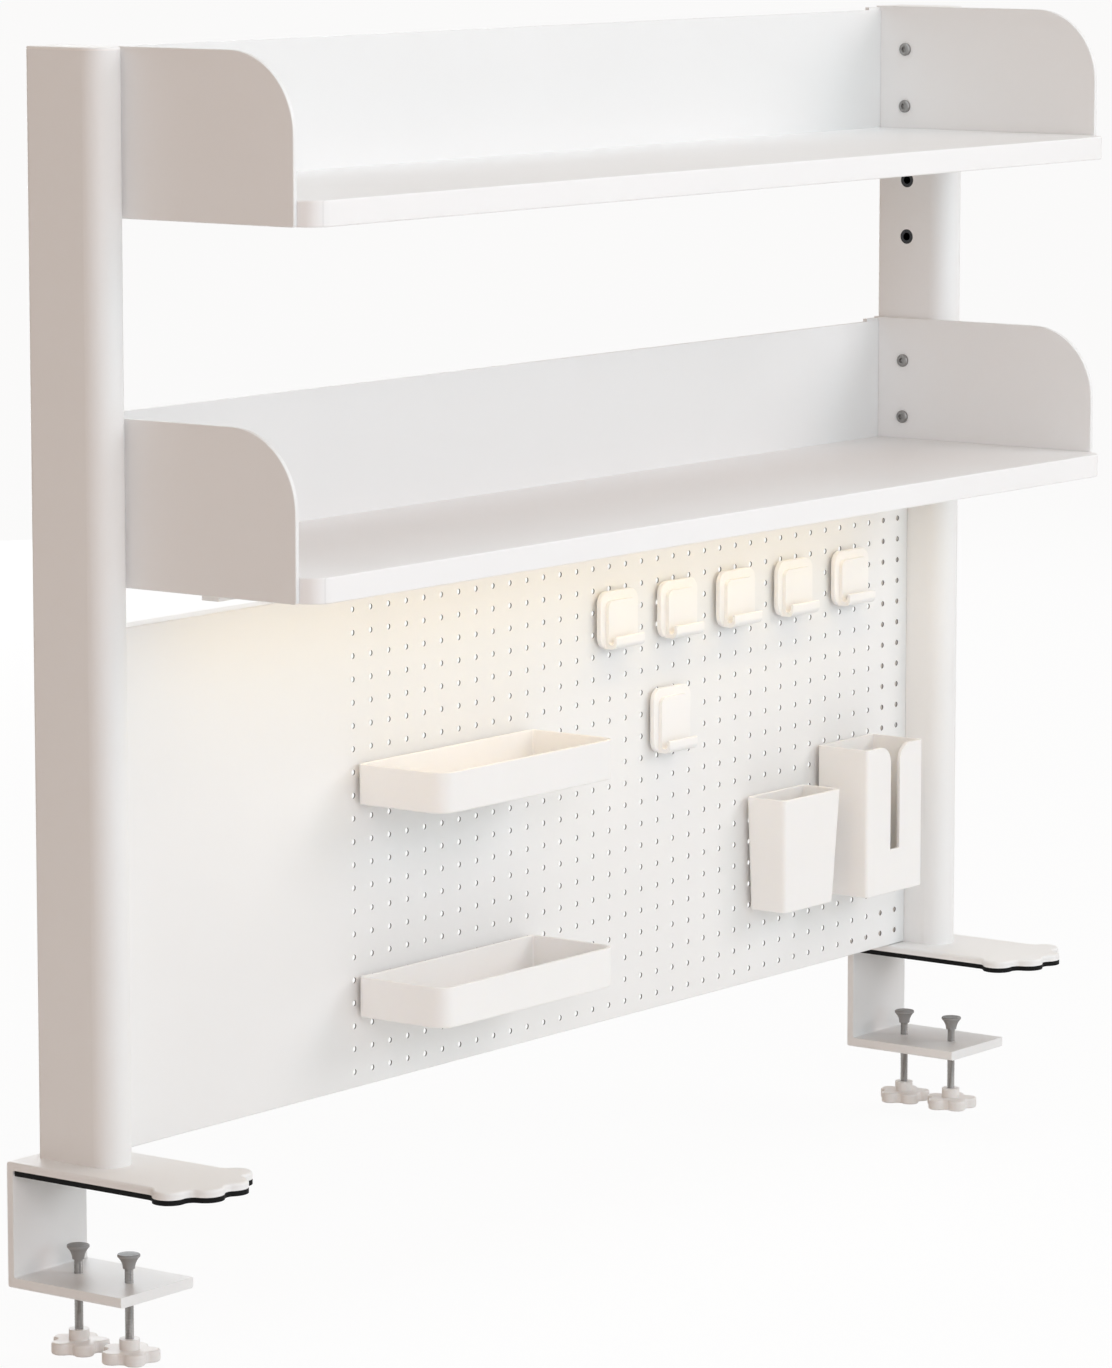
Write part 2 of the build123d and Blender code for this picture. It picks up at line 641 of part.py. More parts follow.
def back_panel(base):
    """Thin sheet behind the board with a folded top edge and studs for its nuts."""
    height = PLATE_HEIGHT - BACK_DROP
    hem_width = 2 * (INNER_X - REAR_FLANGE - PASSING)
    with BuildPart() as back:
        with Locations((0, -BACK_FACE, base)):
            Box(2 * BOARD_HALF, BACK_STEEL, height, align=(Align.CENTER, Align.MIN, Align.MIN))
        with Locations((0, -BACK_FACE, base + height)):
            Box(hem_width, BACK_HEM, BACK_STEEL, align=(Align.CENTER, Align.MIN, Align.MAX))
        with Locations((0, BACK_HEM - BACK_FACE, base + height)):
            Box(hem_width, BACK_STEEL, BACK_HEM_HEIGHT, align=(Align.CENTER, Align.MAX, Align.MAX))
        with BuildSketch(Plane.XZ.offset(FLANGE_FACE)):
            with Locations(*stud_points(base)):
                Circle(STUD_SIZE / 2)
        extrude(amount=-STUD_LENGTH)
        with BuildSketch(Plane.XZ.offset(FLANGE_FACE)):
            with Locations(*back_screw_points(base)):
                Circle(WOOD_SCREW / 2 + PASSING)
        extrude(amount=BACK_STEEL, mode=Mode.SUBTRACT)
    return back


def shelf_board(base, pilot_points):
    """Laminated board, let in at its ends for the bottom flanges, with pilot holes for its screws."""
    with BuildPart() as board:
        with BuildSketch(Plane.XY.offset(base)) as plan:
            with Locations((0, -BACK_FACE)):
                Rectangle(2 * BOARD_HALF, BOARD_FRONT - BACK_FACE, align=(Align.CENTER, Align.MAX))
            fillet(plan.vertices().group_by(Axis.Y)[0], radius=BOARD_CORNER)
        extrude(amount=BOARD_THICKNESS)
        rims = board.faces().filter_by(Axis.Z).edges()
        fillet(rims.filter_by_position(Axis.Y, -BOARD_FRONT - SNUG, -BACK_FACE - SNUG), radius=BOARD_EDGE)
        for side in SIDES.values():
            with Locations((side * INNER_X, -BOTTOM_FLANGE_FRONT - PASSING, base)):
                Box(
                    BOTTOM_FLANGE + PASSING,
                    BOTTOM_FLANGE_LENGTH + 2 * PASSING,
                    PLATE_STEEL,
                    align=(INWARD[side], Align.MIN, Align.MIN),
                    mode=Mode.SUBTRACT,
                )
        with BuildSketch(Plane.XY.offset(base)):
            with Locations(*pilot_points):
                Circle(WOOD_SCREW / 2 + RUNNING)
        extrude(amount=WOOD_SCREW_LENGTH, mode=Mode.SUBTRACT)
        with BuildSketch(Plane.XZ.offset(BACK_FACE)):
            with Locations(*back_screw_points(base)):
                Circle(WOOD_SCREW / 2 + RUNNING)
        extrude(amount=WOOD_SCREW_LENGTH, mode=Mode.SUBTRACT)
    return board


plate_pilots = plate_screw_points(SIDES["left"]) + plate_screw_points(SIDES["right"])
board_pilots = {"upper": plate_pilots, "lower": plate_pilots + light_screw_points()}
for level, base in SHELF_BASES.items():
    for word, side in SIDES.items():
        save(side_plate(side, base), f"{level}_{word}_side_plate")
    save(back_panel(base), f"{level}_back_panel")
    save(shelf_board(base, board_pilots[level]), f"{level}_shelf_board")

# Button-head bolts through the side plates into the posts
with BuildPart() as shelf_bolts:
    bolt_places = [point for base in SHELF_BASES.values() for point in shelf_bolt_points(base)]
    for side in SIDES.values():
        seat = Plane.YZ.offset(side * PLATE_INNER_X)
        crown = Plane.YZ.offset(side * (PLATE_INNER_X - BOLT_HEAD_HEIGHT))
        with BuildSketch(seat):
            with Locations(*bolt_places):
                Circle(BOLT_HEAD / 2)
        extrude(amount=-side * BOLT_HEAD_HEIGHT)
        crowns = [face for face in shelf_bolts.faces().filter_by(Axis.X) if crown.contains(face.center())]
        fillet(ShapeList(crowns).edges(), radius=BOLT_HEAD_ROUND)
        with BuildSketch(crown):
            with Locations(*bolt_places):
                RegularPolygon(BOLT_SOCKET / 2, 6, major_radius=False)
        extrude(amount=side * BOLT_SOCKET_DEPTH, mode=Mode.SUBTRACT)
        with BuildSketch(seat):
            with Locations(*bolt_places):
                Circle(BOLT_SIZE / 2)
        extrude(amount=side * BOLT_LENGTH)
save(shelf_bolts, "shelf_bolts")

# Wood screws into the boards: countersunk from below, pan heads at the light bar and from the rear
with BuildPart() as board_screws:
    light_seat = LIGHT_BASE - COVER_THICKNESS + WOOD_SCREW_HEAD_HEIGHT + PASSING
    for base in SHELF_BASES.values():
        for x, y in plate_pilots:
            with Locations((x, y, base)):
                Cone(WOOD_SCREW_HEAD / 2, WOOD_SCREW / 2, SINK_HEIGHT, align=BASE)
                Cylinder(WOOD_SCREW / 2, WOOD_SCREW_LENGTH, align=BASE)
    groups = [(Plane.XY.offset(light_seat), light_screw_points())]
    groups += [(Plane.XZ.offset(FLANGE_FACE), back_screw_points(base)) for base in SHELF_BASES.values()]
    for seat, points in groups:
        with BuildSketch(seat):
            with Locations(*points):
                Circle(WOOD_SCREW_HEAD / 2)
        extrude(amount=-WOOD_SCREW_HEAD_HEIGHT)
        with BuildSketch(seat):
            with Locations(*points):
                Circle(WOOD_SCREW / 2)
        extrude(amount=WOOD_SCREW_LENGTH)
save(board_screws, "board_screws")

with BuildPart() as back_panel_nuts:
    for base in SHELF_BASES.values():
        with BuildSketch(Plane.XZ.offset(FLANGE_FACE - PLATE_STEEL)):
            with Locations(*stud_points(base)):
                RegularPolygon(STUD_NUT_WIDTH / 2, 6, major_radius=False)
                Circle(STUD_SIZE / 2 + RUNNING, mode=Mode.SUBTRACT)
        extrude(amount=-STUD_NUT_HEIGHT)
save(back_panel_nuts, "back_panel_nuts")


# Perforated board
def holed_field():
    """Sheet with the full grid of holes, drawn about the middle of the grid."""
    middle_column = (HOLE_COLUMNS - 1) / 2
    middle_row = (HOLE_ROWS - 1) / 2
    holes = [
        Wire.make_circle(
            HOLE_DIAMETER / 2,
            Plane(((column - middle_column) * HOLE_COLUMN_PITCH, (row - middle_row) * HOLE_ROW_PITCH, 0)),
        )
        for column in range(HOLE_COLUMNS)
        for row in range(HOLE_ROWS)
    ]
    return Face(Wire.make_rect(HOLE_COLUMNS * HOLE_COLUMN_PITCH, HOLE_ROWS * HOLE_ROW_PITCH), holes)


with BuildPart() as perforated_panel:
    with Locations((0, -PANEL_FACE, PANEL_Z)):
        Box(2 * PANEL_HALF, PANEL_RETURN, PANEL_HEIGHT, align=(Align.CENTER, Align.MIN, Align.MIN))
    fillet(perforated_panel.faces().sort_by(Axis.Y)[0].edges(), radius=PANEL_EDGE)
    with Locations((0, PANEL_STEEL - PANEL_FACE, PANEL_Z + PANEL_STEEL)):
        Box(
            2 * (PANEL_HALF - PANEL_STEEL),
            PANEL_RETURN - PANEL_STEEL,
            PANEL_HEIGHT - 2 * PANEL_STEEL,
            align=(Align.CENTER, Align.MIN, Align.MIN),
            mode=Mode.SUBTRACT,
        )
    with BuildSketch(Plane.XZ.offset(PANEL_FACE - PANEL_STEEL)):
        with Locations((HOLE_CENTRE_X, HOLE_CENTRE_Z)):
            Rectangle(HOLE_COLUMNS * HOLE_COLUMN_PITCH, HOLE_ROWS * HOLE_ROW_PITCH)
    extrude(amount=PANEL_STEEL, mode=Mode.SUBTRACT)
    for side in SIDES.values():
        with BuildSketch(Plane.YZ.offset(side * PANEL_HALF)):
            with Locations(*panel_points()):
                Circle(PANEL_SCREW_SIZE / 2 + PASSING)
        extrude(amount=-side * PANEL_STEEL, mode=Mode.SUBTRACT)
    with BuildSketch(Plane.XZ.offset(PANEL_FACE - PANEL_STEEL)):
        with Locations((HOLE_CENTRE_X, HOLE_CENTRE_Z)):
            add(holed_field())
    extrude(amount=PANEL_STEEL)
save(perforated_panel, "perforated_panel")

with BuildPart() as panel_screws:
    for side in SIDES.values():
        seat = Plane.YZ.offset(side * (PANEL_HALF - PANEL_STEEL))
        with BuildSketch(seat):
            with Locations(*panel_points()):
                Circle(PANEL_SCREW_HEAD / 2)
        extrude(amount=-side * PANEL_SCREW_HEAD_HEIGHT)
        with BuildSketch(seat):
            with Locations(*panel_points()):
                Circle(PANEL_SCREW_SIZE / 2)
        extrude(amount=side * PANEL_SCREW_LENGTH)
save(panel_screws, "panel_screws")


# Magnets of the accessories
def magnet_pockets(points):
    """Cut pockets for magnets into the rear face of the accessory being built."""
    with BuildSketch(Plane.XZ.offset(-ACCESSORY_REAR)) as pockets:
        with Locations(*points):
            Circle(MAGNET_DIAMETER / 2 + SNUG)
    return pockets.sketch


def save_magnets(points, name):
    """Write an accessory's magnets, which reach from its pockets to the perforated board."""
    with BuildPart() as magnets:
        with BuildSketch(Plane.XZ.offset(PANEL_FACE + RUNNING)):
            with Locations(*points):
                Circle(MAGNET_DIAMETER / 2)
        extrude(amount=MAGNET_STANDOFF + MAGNET_POCKET - RUNNING)
    save(magnets, f"{name}_magnets")


# Trays
for level, top in TRAY_TOPS.items():
    magnet_row = [(TRAY_CENTRE + step * TRAY_MAGNET_SPACING, top - TRAY_HEIGHT / 2) for step in (-1, 0, 1)]
    with BuildPart() as tray:
        with BuildSketch(Plane.XY.offset(top - TRAY_HEIGHT)) as plan:
            with Locations((TRAY_CENTRE, ACCESSORY_REAR)):
                Rectangle(TRAY_WIDTH, TRAY_DEPTH, align=(Align.CENTER, Align.MAX))
            fillet(plan.vertices().group_by(Axis.Y)[0], radius=TRAY_FRONT_RADIUS)
            fillet(plan.vertices().group_by(Axis.Y)[-1], radius=TRAY_REAR_RADIUS)
        extrude(amount=TRAY_HEIGHT)
        offset(amount=-TRAY_WALL, openings=tray.faces().sort_by(Axis.Z)[-1])
        fillet(tray.faces().sort_by(Axis.Z)[0].edges(), radius=TRAY_FOOT)
        fillet(tray.faces().sort_by(Axis.Z)[-1].edges(), radius=TRAY_RIM)
        extrude(magnet_pockets(magnet_row), amount=MAGNET_POCKET, mode=Mode.SUBTRACT)
    save(tray, f"{level}_tray")
    save_magnets(magnet_row, f"{level}_tray")


# Pen cup
def cup_section(height, inset=0.0):
    """Section of the cup at a height above its underside, drawn in by inset."""
    share = height / CUP_HEIGHT
    width = CUP_BOTTOM_WIDTH + share * (CUP_TOP_WIDTH - CUP_BOTTOM_WIDTH) - 2 * inset
    depth = CUP_BOTTOM_DEPTH + share * (CUP_TOP_DEPTH - CUP_BOTTOM_DEPTH) - 2 * inset
    with BuildSketch(Plane.XY.offset(CUP_TOP - CUP_HEIGHT + height)) as section:
        with Locations((CUP_CENTRE, ACCESSORY_REAR - inset)):
            Rectangle(width, depth, align=(Align.CENTER, Align.MAX))
        fillet(section.vertices(), radius=CUP_RADIUS - inset / 2)
    return section.sketch


cup_magnets = [(CUP_CENTRE, CUP_TOP - CUP_HEIGHT / 2 + step * CUP_MAGNET_SPACING / 2) for step in (-1, 1)]
with BuildPart() as pen_cup:
    loft([cup_section(0), cup_section(CUP_HEIGHT)])
    loft([cup_section(CUP_WALL, CUP_WALL), cup_section(CUP_HEIGHT, CUP_WALL)], mode=Mode.SUBTRACT)
    fillet(pen_cup.faces().sort_by(Axis.Z)[0].edges(), radius=CUP_RIM)
    fillet(pen_cup.faces().sort_by(Axis.Z)[-1].edges(), radius=CUP_RIM)
    extrude(magnet_pockets(cup_magnets), amount=MAGNET_POCKET, mode=Mode.SUBTRACT)
save(pen_cup, "pen_cup")
save_magnets(cup_magnets, "pen_cup")

# Slotted box
box_magnets = [(BOX_CENTRE, BOX_TOP - BOX_HEIGHT / 2 + step * BOX_MAGNET_SPACING / 2) for step in (-1, 1)]
with BuildPart() as slotted_box:
    with BuildSketch(Plane.XY.offset(BOX_TOP - BOX_HEIGHT)) as box_plan:
        with Locations((BOX_CENTRE, ACCESSORY_REAR)):
            Rectangle(BOX_WIDTH, BOX_DEPTH, align=(Align.CENTER, Align.MAX))
        fillet(box_plan.vertices(), radius=BOX_RADIUS)
    extrude(amount=BOX_HEIGHT)
    offset(amount=-BOX_WALL, openings=slotted_box.faces().sort_by(Axis.Z)[-1])
    fillet(slotted_box.faces().sort_by(Axis.Z)[0].edges(), radius=BOX_RIM)
    with BuildSketch(Plane.XZ.offset(BOX_DEPTH - ACCESSORY_REAR)):
        with Locations((BOX_CENTRE, BOX_TOP - BOX_HEIGHT + SLOT_HEIGHT)):
            Rectangle(SLOT_WIDTH, BOX_HEIGHT, align=(Align.CENTER, Align.MIN))
    extrude(amount=-BOX_WALL, mode=Mode.SUBTRACT)
    slot_tops = slotted_box.edges().filter_by(Axis.Y).filter_by_position(
        Axis.X, BOX_CENTRE - SLOT_WIDTH, BOX_CENTRE + SLOT_WIDTH
    )
    fillet(slot_tops.group_by(Axis.Z)[-1], radius=SLOT_FLARE)
    extrude(magnet_pockets(box_magnets), amount=MAGNET_POCKET, mode=Mode.SUBTRACT)
save(slotted_box, "slotted_box")
save_magnets(box_magnets, "slotted_box")


# Hooks
def hook_profile(x, z, height):
    """Side view of a hook's strap: down the base, then forward and up into a short lip."""
    bottom = z - height / 2
    rear = ACCESSORY_REAR - HOOK_BASE + HOOK_EDGE
    face = ACCESSORY_REAR - HOOK_BASE - HOOK_STRAP
    lip = face - HOOK_THROAT
    floor = bottom + HOOK_STRAP
    lip_top = bottom + HOOK_LIP
    outer = HOOK_BOWL_RADIUS + HOOK_LIP_THICKNESS
    top = z + height / 2 - HOOK_STRAP_MARGIN
    with BuildSketch(Plane.YZ.offset(x - HOOK_STRAP_WIDTH / 2)) as profile:
        with BuildLine():
            FilletPolyline(
                (rear, bottom),
                (lip - HOOK_LIP_THICKNESS, bottom),
                (lip - HOOK_LIP_THICKNESS, lip_top),
                (lip, lip_top),
                (lip, floor),
                (face, floor),
                (face, top),
                (rear, top),
                radius=(0, outer, HOOK_TIP_RADIUS, HOOK_TIP_RADIUS, HOOK_BOWL_RADIUS, HOOK_BOWL_RADIUS, 0, 0),
                close=True,
            )
        make_face()
    return profile.sketch


for number, (x, z, height) in enumerate(HOOK_PLACES, start=1):
    hook_magnets = [(x + step * HOOK_MAGNET_SPACING / 2, z) for step in (-1, 1)]
    with BuildPart() as hook:
        with BuildSketch(Plane.XZ.offset(-ACCESSORY_REAR)):
            with Locations((x, z)):
                RectangleRounded(HOOK_WIDTH, height, HOOK_RADIUS)
        extrude(amount=HOOK_BASE)
        fillet(hook.faces().sort_by(Axis.Y)[0].edges(), radius=HOOK_EDGE)
        extrude(hook_profile(x, z, height), amount=HOOK_STRAP_WIDTH)
        strap_top = z + height / 2 - HOOK_STRAP_MARGIN
        across = hook.edges().filter_by(Axis.Y)
        corners = across.filter_by_position(Axis.Z, strap_top - SNUG, strap_top + SNUG)
        fillet(corners, radius=HOOK_STRAP_RADIUS)
        extrude(magnet_pockets(hook_magnets), amount=MAGNET_POCKET, mode=Mode.SUBTRACT)
    save(hook, f"hook_{number}")
    save_magnets(hook_magnets, f"hook_{number}")

# Light bar
with BuildPart() as light_channel:
    with BuildSketch(Plane.YZ.offset(-LIGHT_LENGTH / 2)):
        with Locations((-LIGHT_LINE, LOWER_BASE)):
            Rectangle(LIGHT_WIDTH, LIGHT_HEIGHT, align=(Align.CENTER, Align.MAX))
        with Locations((-LIGHT_LINE, LIGHT_BASE)):
            Rectangle(
                LIGHT_WIDTH - 2 * LIGHT_WALL,
                LIGHT_HEIGHT - LIGHT_WALL,
                align=(Align.CENTER, Align.MIN),
                mode=Mode.SUBTRACT,
            )
    extrude(amount=LIGHT_LENGTH)
save(light_channel, "light_channel")

with BuildPart() as light_cover:
    with BuildSketch(Plane.YZ.offset(-LIGHT_LENGTH / 2)):
        with Locations((-LIGHT_LINE, LIGHT_BASE)):
            Rectangle(LIGHT_WIDTH, COVER_THICKNESS, align=(Align.CENTER, Align.MAX))
            Rectangle(
                LIGHT_WIDTH - 2 * LIGHT_WALL - 2 * SNUG,
                COVER_TONGUE,
                align=(Align.CENTER, Align.MIN),
            )
    extrude(amount=LIGHT_LENGTH)
save(light_cover, "light_cover")

with BuildPart() as led_strip:
    ceiling = LOWER_BASE - LIGHT_WALL
    with Locations((0, -LIGHT_LINE, ceiling)):
        Box(LIGHT_LENGTH - 2 * PASSING, STRIP_WIDTH, STRIP_THICKNESS, align=TOP)
    with BuildSketch(Plane((0, -LIGHT_LINE, ceiling - STRIP_THICKNESS))):
        with GridLocations(CHIP_PITCH, 0, CHIP_COUNT, 1):
            Rectangle(CHIP_SIZE, CHIP_SIZE)
    extrude(amount=-CHIP_HEIGHT)
save(led_strip, "led_strip")

with BuildPart() as light_end_caps:
    for side in SIDES.values():
        with Locations((side * LIGHT_LENGTH / 2, -LIGHT_LINE, LOWER_BASE)):
            Box(
                END_CAP_LENGTH,
                LIGHT_WIDTH,
                LIGHT_HEIGHT + COVER_THICKNESS,
                align=(INWARD[-side], Align.CENTER, Align.MAX),
            )
    with BuildSketch(Plane.XY.offset(LIGHT_BASE - COVER_THICKNESS)):
        with Locations(*light_screw_points()):
            Circle(WOOD_SCREW / 2 + RUNNING)
    extrude(amount=LIGHT_HEIGHT + COVER_THICKNESS, mode=Mode.SUBTRACT)
    with BuildSketch(Plane.XY.offset(LIGHT_BASE - COVER_THICKNESS)):
        with Locations(*light_screw_points()):
            Circle(WOOD_SCREW_HEAD / 2 + PASSING)
    extrude(amount=WOOD_SCREW_HEAD_HEIGHT + PASSING, mode=Mode.SUBTRACT)
    with BuildSketch(Plane.YZ.offset(LIGHT_LENGTH / 2 + END_CAP_LENGTH)):
        with Locations((-LIGHT_LINE, LOWER_BASE - (LIGHT_HEIGHT + COVER_THICKNESS) / 2)):
            Circle(INLET_DIAMETER / 2)
            Circle(INLET_PIN / 2, mode=Mode.SUBTRACT)
    extrude(amount=-INLET_DEPTH, mode=Mode.SUBTRACT)
save(light_end_caps, "light_end_caps")
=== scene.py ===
import json
import math

import bmesh
import bpy
from mathutils import Matrix, Vector


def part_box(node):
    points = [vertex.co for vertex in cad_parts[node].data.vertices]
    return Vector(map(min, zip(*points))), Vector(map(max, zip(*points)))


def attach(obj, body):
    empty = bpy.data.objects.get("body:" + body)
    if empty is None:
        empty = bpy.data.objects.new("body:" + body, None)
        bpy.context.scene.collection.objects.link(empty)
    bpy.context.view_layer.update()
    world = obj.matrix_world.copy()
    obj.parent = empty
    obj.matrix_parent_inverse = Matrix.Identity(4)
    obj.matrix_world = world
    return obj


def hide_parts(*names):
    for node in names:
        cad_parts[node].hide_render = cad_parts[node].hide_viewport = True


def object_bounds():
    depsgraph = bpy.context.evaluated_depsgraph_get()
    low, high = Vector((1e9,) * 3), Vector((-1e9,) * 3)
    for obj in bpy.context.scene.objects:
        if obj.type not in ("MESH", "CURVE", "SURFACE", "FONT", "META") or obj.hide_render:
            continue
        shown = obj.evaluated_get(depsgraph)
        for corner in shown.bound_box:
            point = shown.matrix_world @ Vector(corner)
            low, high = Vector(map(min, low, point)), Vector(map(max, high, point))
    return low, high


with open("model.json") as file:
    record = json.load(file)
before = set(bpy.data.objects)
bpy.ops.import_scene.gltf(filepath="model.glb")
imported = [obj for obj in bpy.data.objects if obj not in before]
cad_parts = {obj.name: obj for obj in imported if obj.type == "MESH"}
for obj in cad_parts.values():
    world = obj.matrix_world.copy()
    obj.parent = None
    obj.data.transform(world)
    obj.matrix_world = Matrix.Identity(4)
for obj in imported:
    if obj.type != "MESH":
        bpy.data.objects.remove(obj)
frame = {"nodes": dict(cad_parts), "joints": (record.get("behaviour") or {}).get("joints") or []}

first_low, first_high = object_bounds()
scene = bpy.context.scene
nodes = frame["nodes"]
MM = 0.001

SIDES = ["left", "right"]
SHELVES = ["upper", "lower"]
CLAMPS = [side + "_" + place for side in SIDES for place in ("rear", "front")]
HOOKS = ["hook_%d" % n for n in range(1, 7)]
HELD = ["upper_tray", "lower_tray", "pen_cup", "slotted_box"] + HOOKS


# Camera at the photograph's viewing angle

CAMERA_PLACE = Vector((-3404.3, -2596.8, 880.9)) * MM
CAMERA_BACK = Vector((-0.7924, -0.5930, 0.1431)).normalized()
CAMERA_LENS = 160.23
CAMERA_SENSOR = 36

camera_data = bpy.data.cameras.new("camera")
camera = bpy.data.objects.new("camera", camera_data)
scene.collection.objects.link(camera)
camera_data.sensor_width = CAMERA_SENSOR
camera_data.lens = CAMERA_LENS
camera_data.clip_start = 0.05
camera_data.clip_end = 200
camera_turn = (-CAMERA_BACK).to_track_quat("-Z", "Y").to_matrix().to_4x4()
camera.matrix_world = Matrix.Translation(CAMERA_PLACE) @ camera_turn
scene.camera = camera


# Shader helpers

# Nearly all of a noise lies between these two values
NOISE_LOW = 0.3
NOISE_HIGH = 0.7


def shade(colour, factor):
    return tuple(c * factor for c in colour[:3]) + (1.0,)


class Graph:
    """One material's nodes, made a line at a time."""

    def __init__(self, name):
        self.material = bpy.data.materials.new(name)
        self.material.use_nodes = True
        self.tree = self.material.node_tree
        self.tree.nodes.clear()
        self.out = self.add("ShaderNodeOutputMaterial")
        self.coords = self.add("ShaderNodeTexCoord").outputs["Object"]

    def add(self, kind, **inputs):
        node = self.tree.nodes.new(kind)
        for key, value in inputs.items():
            self.put(node.inputs[key.replace("_", " ")], value)
        return node

    def put(self, socket, value):
        if isinstance(value, bpy.types.NodeSocket):
            self.tree.links.new(value, socket)
        else:
            socket.default_value = value

    def scaled(self, factors):
        """The object's coordinates times a factor along each axis."""
        return self.add("ShaderNodeMapping", Scale=factors, Vector=self.coords).outputs["Vector"]

    def noise(self, size, detail=2.0, stretch=(1, 1, 1)):
        """Noise whose bumps are about size metres across, from 0 to 1."""
        place = self.scaled(tuple(s / size for s in stretch))
        node = self.add("ShaderNodeTexNoise", Vector=place, Scale=1.0, Detail=detail, Roughness=0.5)
        return node.outputs["Fac"]

    def cells(self, size):
        """Distance to the nearest of points that lie about size metres apart."""
        place = self.scaled((1 / size,) * 3)
        return self.add("ShaderNodeTexVoronoi", Vector=place, Scale=1.0).outputs["Distance"]

    def span(self, value, low, high, start=0.0, end=1.0):
        """Maps value from start..end to low..high."""
        node = self.add("ShaderNodeMapRange")
        for socket, number in zip(node.inputs[:5], (value, start, end, low, high)):
            self.put(socket, number)
        return node.outputs["Result"]

    def around(self, noise, middle, spread):
        """A number that wanders by spread to both sides of middle, as the noise does."""
        return self.span(noise, middle - spread, middle + spread, NOISE_LOW, NOISE_HIGH)

    def mottled(self, noise, colour, darkest):
        """The colour, shaded by up to the factor darkest where the noise is low."""
        light = self.span(noise, 0, 1, NOISE_LOW, NOISE_HIGH)
        return self.blend(light, shade(colour, darkest), colour)

    def math(self, operation, first, second=0.0):
        node = self.add("ShaderNodeMath")
        node.operation = operation
        self.put(node.inputs[0], first)
        self.put(node.inputs[1], second)
        return node.outputs[0]

    def blend(self, factor, first, second):
        """Colour that goes from first to second."""
        node = self.add("ShaderNodeMix")
        node.data_type = "RGBA"
        for socket, value in zip((node.inputs[0], node.inputs[6], node.inputs[7]), (factor, first, second)):
            self.put(socket, value)
        return node.outputs[2]

    def bump(self, height, depth, strength, under=None):
        """Relief of a depth in metres, on top of the relief under it."""
        node = self.add("ShaderNodeBump", Height=height, Distance=depth, Strength=strength)
        if under is not None:
            self.put(node.inputs["Normal"], under)
        return node.outputs["Normal"]

    def surface(self, **inputs):
        """Closes the material with a Principled shader and returns it."""
        shader = self.add("ShaderNodeBsdfPrincipled", **inputs)
        self.put(self.out.inputs["Surface"], shader.outputs["BSDF"])
        return self.material


# Colours

WHITE = (0.87, 0.87, 0.865, 1)
BOARD_WHITE = (0.91, 0.9, 0.895, 1)
PLASTIC_WHITE = (0.93, 0.92, 0.905, 1)
KNOB_WHITE = (0.84, 0.82, 0.8, 1)
PAD_GREY = (0.32, 0.315, 0.31, 1)
STRIP_WHITE = (0.8, 0.8, 0.76, 1)
RUBBER_BLACK = (0.005, 0.005, 0.005, 1)
RUBBER_DUST = (0.012, 0.012, 0.0125, 1)
ZINC = (0.56, 0.55, 0.54, 1)
BOLT_ZINC = (0.34, 0.33, 0.32, 1)
THREAD_ZINC = (0.36, 0.345, 0.33, 1)
BLACK_ZINC = (0.05, 0.05, 0.052, 1)
# Painted shade: dark grey that stands in for the shade on the walls of the punched holes
HOLE_WALL_SHADE = (0.2, 0.195, 0.19, 1)
NICKEL = (0.62, 0.59, 0.54, 1)
ALUMINIUM = (0.74, 0.74, 0.75, 1)
WARM_LIGHT = (1.0, 0.78, 0.47, 1)
FLOOR_WHITE = (0.9, 0.9, 0.9, 1)
WARM_ROOM = (1.0, 0.72, 0.52, 1)


# Materials

PAINT_PEEL = 1.6 * MM
POST_PEEL = 2.2 * MM
PAINT_ROUGHNESS = 0.46
ACROSS_SHEET = 0.5
BAND_THICKNESS = 1.0 * MM
GLUE_LINE = 0.35 * MM
GLUE_STRENGTH = 0.35
LIGHT_STRENGTH = 5.8


def punched_edges(g, low, high):
    """1 on the faces that cross the sheet's thickness between two corners, and 0 elsewhere."""
    place = g.add("ShaderNodeSeparateXYZ", Vector=g.coords).outputs
    normal = g.add("ShaderNodeNewGeometry").outputs["True Normal"]
    facing = g.add("ShaderNodeSeparateXYZ", Vector=normal).outputs
    found = g.math("LESS_THAN", g.math("ABSOLUTE", facing["Y"]), ACROSS_SHEET)
    for axis, start, end in (("X", low.x, high.x), ("Z", low.z, high.z)):
        found = g.math("MULTIPLY", found, g.math("GREATER_THAN", place[axis], start))
        found = g.math("MULTIPLY", found, g.math("LESS_THAN", place[axis], end))
    return found


def powder_coat(name, colour, peel=PAINT_PEEL, holes=None):
    """Baked powder paint on steel: fine grain over a wider orange peel.

    Where holes is given as two corners of a perforated field, the punched edges in it are painted dark
    grey: painted shade for the walls of the holes, which lie in shade."""
    g = Graph(name)
    tone = g.mottled(g.noise(160 * MM, detail=3), colour, darkest=0.985)
    speckle = g.span(g.noise(0.5 * MM, detail=1), 0, 1, 0.62, 0.8)
    tone = g.blend(speckle, tone, shade(colour, 0.96))
    waves = g.bump(g.noise(peel), depth=0.05 * MM, strength=0.6)
    grain = g.bump(g.noise(0.35 * MM), depth=0.02 * MM, strength=0.6, under=waves)
    roughness = g.around(g.noise(peel), PAINT_ROUGHNESS, 0.05)
    if holes:
        # Painted shade: the walls of the punched holes are coloured dark grey in place of the shade inside
        # them
        tone = g.blend(punched_edges(g, *holes), tone, HOLE_WALL_SHADE)
    return g.surface(Base_Color=tone, Roughness=roughness, Normal=grain, Specular_IOR_Level=0.45)


